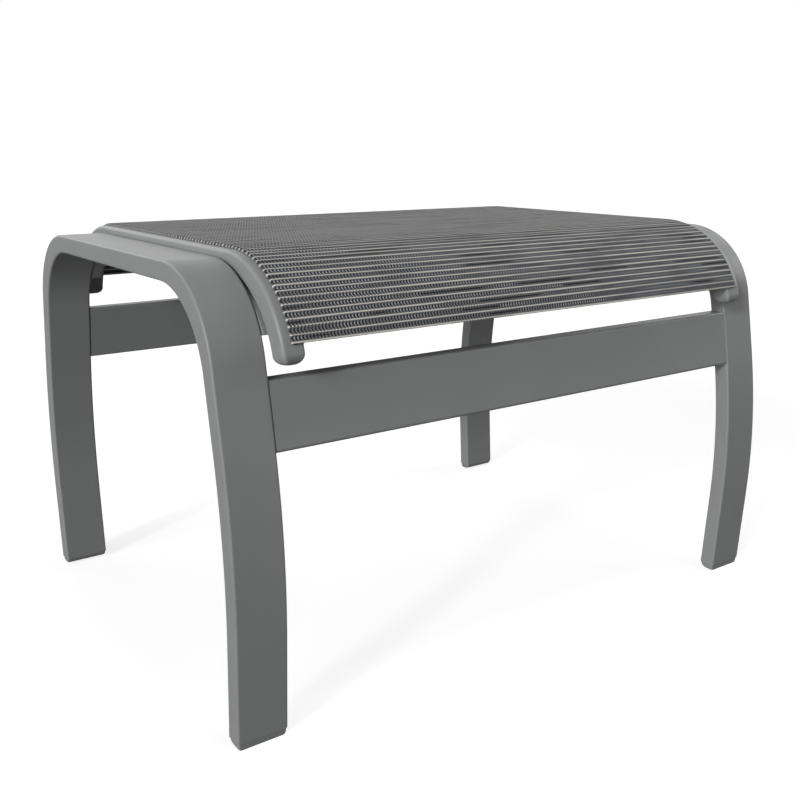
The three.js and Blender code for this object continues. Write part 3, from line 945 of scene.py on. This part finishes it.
def steel():
    """Brushed steel, duller in some places than in others."""
    material, tree, shader = new_material("screw steel")
    shader.inputs["Metallic"].default_value = 1
    shader.inputs["Base Color"].default_value = STEEL_COLOUR
    place = tree.nodes.new("ShaderNodeTexCoord").outputs["Object"]
    brushing = noise_node(tree, place, BRUSHING_SCALE)
    spread = tree.nodes.new("ShaderNodeMapRange")
    for limit, roughness in zip(("To Min", "To Max"), STEEL_ROUGHNESSES):
        spread.inputs[limit].default_value = roughness
    tree.links.new(brushing.outputs["Fac"], spread.inputs["Value"])
    tree.links.new(spread.outputs["Result"], shader.inputs["Roughness"])
    return material


def from_middle(tree, value):
    """How far a value is from halfway between the whole numbers on its two sides."""
    return maths(tree, "ABSOLUTE", maths(tree, "SUBTRACT", maths(tree, "FRACT", value), 0.5))


def weave_places(tree):
    """Each place's X on the cloth, how far it is along it in pitches of the cords, and its row.

    The cords lie halfway between the whole numbers of pitches, and their pitch is slightly uneven.
    """
    cloth = tree.nodes.new("ShaderNodeUVMap")
    cloth.uv_map = "cloth"
    place = cloth.outputs["UV"]
    parts = tree.nodes.new("ShaderNodeSeparateXYZ")
    tree.links.new(place, parts.inputs["Vector"])
    off_centre = maths(tree, "SUBTRACT", stretched_noise(tree, place, WANDER_SCALES), 0.5)
    wander = maths(tree, "MULTIPLY", off_centre, ROW_WANDER)
    pitches = maths(tree, "DIVIDE", maths(tree, "ADD", parts.outputs["Y"], wander), ROW_PITCH)
    row = maths(tree, "FLOOR", maths(tree, "ADD", pitches, 0.5))
    return parts.outputs["X"], pitches, row


def row_patches(tree, across, row):
    """The parts of each row that have black threads, that have broken cords, and that have specks."""
    by_row = tree.nodes.new("ShaderNodeCombineXYZ")
    tree.links.new(across, by_row.inputs["X"])
    tree.links.new(row, by_row.inputs["Y"])
    kinds = (
        (STREAK_SCALES, STREAK_LEVELS),
        (DASH_SCALES, DASH_LEVELS),
        (SPECK_SCALES, SPECK_LEVELS),
    )
    place = by_row.outputs["Vector"]
    return [more(tree, stretched_noise(tree, place, scales), levels) for scales, levels in kinds]


def weave_forms(tree):
    """How much of a pale cord, of a dark form and of a light speck is at each place of the cloth.
    Dark forms are the black threads, and the openings painted near-black as shade.
    """
    across, pitches, row = weave_places(tree)
    streaked, dashed, specked = row_patches(tree, across, row)
    from_cord = from_middle(tree, pitches)
    from_row_middle = maths(tree, "SUBTRACT", 0.5, from_cord)

    # Openings bent like an arrowhead, painted dark as shade, with light specks between them
    bend = maths(tree, "MULTIPLY", from_row_middle, GAP_BEND_SHARE / GAP_END_SHARES[1])
    gap_pitches = maths(tree, "SUBTRACT", maths(tree, "DIVIDE", across, GAP_PITCH), bend)
    from_gap = from_middle(tree, gap_pitches)
    within_gap = less(tree, from_gap, GAP_EDGE_SHARES)
    gap_shade = maths(tree, "MULTIPLY", within_gap, less(tree, from_row_middle, GAP_END_SHARES))
    beside_gap = maths(tree, "MULTIPLY", more(tree, from_gap, SPECK_SIDE_SHARES), specked)
    speck = maths(tree, "MULTIPLY", beside_gap, less(tree, from_row_middle, SPECK_END_SHARES))

    # Black threads run along the middle of a row in places, and some cords break into dashes
    streak = maths(tree, "MULTIPLY", streaked, less(tree, from_row_middle, STREAK_EDGE_SHARES))
    cord = less(tree, from_cord, CORD_EDGE_SHARES)
    broken = maths(tree, "MULTIPLY", dashed, less(tree, from_gap, DASH_EDGE_SHARES))
    cord_kept = maths(tree, "MULTIPLY", cord, maths(tree, "SUBTRACT", 1, broken))
    cord_lost = maths(tree, "MULTIPLY", cord, broken)
    # Painted shade: the openings and the broken cords get the same near-black as the black threads
    thread_and_gap_shade = maths(tree, "MAXIMUM", maths(tree, "MAXIMUM", gap_shade, streak), cord_lost)
    return cord_kept, thread_and_gap_shade, speck


def weave():
    """Woven sling: pale cords across, with rows of bent openings between them painted dark as shade.
    """
    material, tree, shader = new_material("woven sling")
    shader.inputs["Roughness"].default_value = WEAVE_ROUGHNESS
    shader.inputs["Specular IOR Level"].default_value = SHINE
    cord, thread_and_gap_shade, speck = weave_forms(tree)
    yarn = blended(tree, speck, YARN_COLOUR, SPECK_COLOUR)
    # Painted shade: the openings take the near-black that the black threads have as their own colour
    between_cords = blended(tree, thread_and_gap_shade, yarn, THREAD_AND_GAP_SHADE_COLOUR)
    colour = blended(tree, cord, between_cords, CORD_COLOUR)
    tree.links.new(colour, shader.inputs["Base Color"])
    raised = maths(tree, "MULTIPLY", cord, CORD_HEIGHT_SHARE)
    height = maths(tree, "ADD", raised, maths(tree, "SUBTRACT", 1, thread_and_gap_shade))
    add_bump(tree, shader, height, WEAVE_BUMP, WEAVE_DEPTH)
    return material


# Studio


def direction(azimuth, elevation):
    """The direction at an azimuth, counted from +Y towards +X, and an elevation."""
    level = cos(elevation)
    return Vector((sin(azimuth) * level, cos(azimuth) * level, sin(elevation)))


def add_camera():
    forward = direction(CAMERA_AZIMUTH, CAMERA_PITCH)
    level = Vector((cos(CAMERA_AZIMUTH), -sin(CAMERA_AZIMUTH), 0))
    upright = level.cross(forward)
    right = level * cos(CAMERA_ROLL) + upright * sin(CAMERA_ROLL)
    up = upright * cos(CAMERA_ROLL) - level * sin(CAMERA_ROLL)
    data = bpy.data.cameras.new("camera")
    data.lens = CAMERA_LENS
    data.shift_x, data.shift_y = CAMERA_SHIFT
    camera = bpy.data.objects.new("camera", data)
    turn = Matrix((right, up, -forward)).transposed().to_4x4()
    camera.matrix_world = Matrix.Translation(CAMERA_PLACE) @ turn
    bpy.context.scene.collection.objects.link(camera)
    bpy.context.scene.camera = camera


def add_lamp(name, azimuth, elevation, spread, share):
    """A far lamp that gives its share of the light that renders a colour as written."""
    data = bpy.data.lights.new(name, "SUN")
    data.angle = radians(spread)
    data.energy = pi * share
    lamp = bpy.data.objects.new(name, data)
    towards = direction(radians(azimuth), radians(elevation))
    lamp.rotation_euler = towards.to_track_quat("Z", "Y").to_euler()
    bpy.context.scene.collection.objects.link(lamp)


def add_floor():
    """A white floor for the camera, which keeps a faint shadow and lights the object less."""
    mesh = bpy.data.meshes.new("floor")
    reach = FLOOR_REACH
    corners = [(-reach, -reach, 0), (reach, -reach, 0), (reach, reach, 0), (-reach, reach, 0)]
    mesh.from_pydata(corners, [], [(0, 1, 2, 3)])
    material, tree, shader = new_material("studio floor")
    shader.inputs["Roughness"].default_value = 1
    shader.inputs["Specular IOR Level"].default_value = 0
    shader.inputs["Emission Strength"].default_value = 1
    seen = tree.nodes.new("ShaderNodeLightPath").outputs["Is Camera Ray"]
    colour = blended(tree, seen, FLOOR_COLOUR, FLOOR_SEEN_COLOUR)
    glow = blended(tree, seen, BLACK, FLOOR_GLOW)
    tree.links.new(colour, shader.inputs["Base Color"])
    tree.links.new(glow, shader.inputs["Emission Color"])
    mesh.materials.append(material)
    floor = bpy.data.objects.new("studio_floor", mesh)
    bpy.context.scene.collection.objects.link(floor)


def add_world():
    """A faint even sky, which the camera and reflections see as white."""
    world = bpy.data.worlds.new("studio")
    bpy.context.scene.world = world
    world.use_nodes = True
    tree = world.node_tree
    path = tree.nodes.new("ShaderNodeLightPath")
    seen = maths(tree, "MAXIMUM", path.outputs["Is Camera Ray"], path.outputs["Is Glossy Ray"])
    seen = maths(tree, "MAXIMUM", seen, path.outputs["Is Transmission Ray"])
    colour = blended(tree, seen, SKY_COLOUR, WHITE)
    tree.links.new(colour, tree.nodes["Background"].inputs["Color"])


def dress_cad(frame, materials):
    """Gives the CAD nodes that stay in sight their materials."""
    for name, node in frame["nodes"].items():
        for start, material in materials.items():
            if name.startswith(start):
                for slot in node.material_slots:
                    slot.material = material


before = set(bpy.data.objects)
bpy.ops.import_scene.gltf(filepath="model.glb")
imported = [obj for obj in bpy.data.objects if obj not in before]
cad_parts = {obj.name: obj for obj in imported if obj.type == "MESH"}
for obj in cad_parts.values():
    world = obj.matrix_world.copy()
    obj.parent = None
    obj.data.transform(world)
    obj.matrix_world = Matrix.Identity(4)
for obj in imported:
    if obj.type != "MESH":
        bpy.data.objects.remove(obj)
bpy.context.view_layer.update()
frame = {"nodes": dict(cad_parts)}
coat = powder_coat("gray powder coat", FRAME_GRAY, COAT_ROUGHNESS)
cap_plastic = powder_coat("gray cap plastic", FRAME_GRAY, CAP_ROUGHNESS)
glide_plastic = powder_coat("gray glide plastic", GLIDE_GRAY, GLIDE_ROUGHNESS)
plug_plastic = powder_coat("dark plug plastic", PLUG_GRAY, PLUG_ROUGHNESS)
rod_plastic = powder_coat("rod plastic", ROD_WHITE, ROD_ROUGHNESS)
screw_steel = steel()
dress_cad(
    frame,
    {
        "spline_rod": rod_plastic,
        "spreader_end_plug": plug_plastic,
        "spreader_screw": screw_steel,
        "rail_screw": screw_steel,
        "carrier_screw": screw_steel,
    },
)
for side_name in SIDES:
    side_frame(side_name, coat)
    sling_rail(side_name, coat)
    rail_carrier(side_name, coat)
    for end_name in ENDS:
        rail_end_cap(side_name, end_name, cap_plastic)
        foot_glide(side_name, end_name, glide_plastic)
for end_name in ENDS:
    stretcher(end_name, coat)
    spreader_bar(end_name, coat)
sling(weave())
add_camera()
add_floor()
add_world()
for lamp_name, settings in LAMPS.items():
    add_lamp(lamp_name, *settings)
bpy.context.scene.view_settings.view_transform = "Standard"
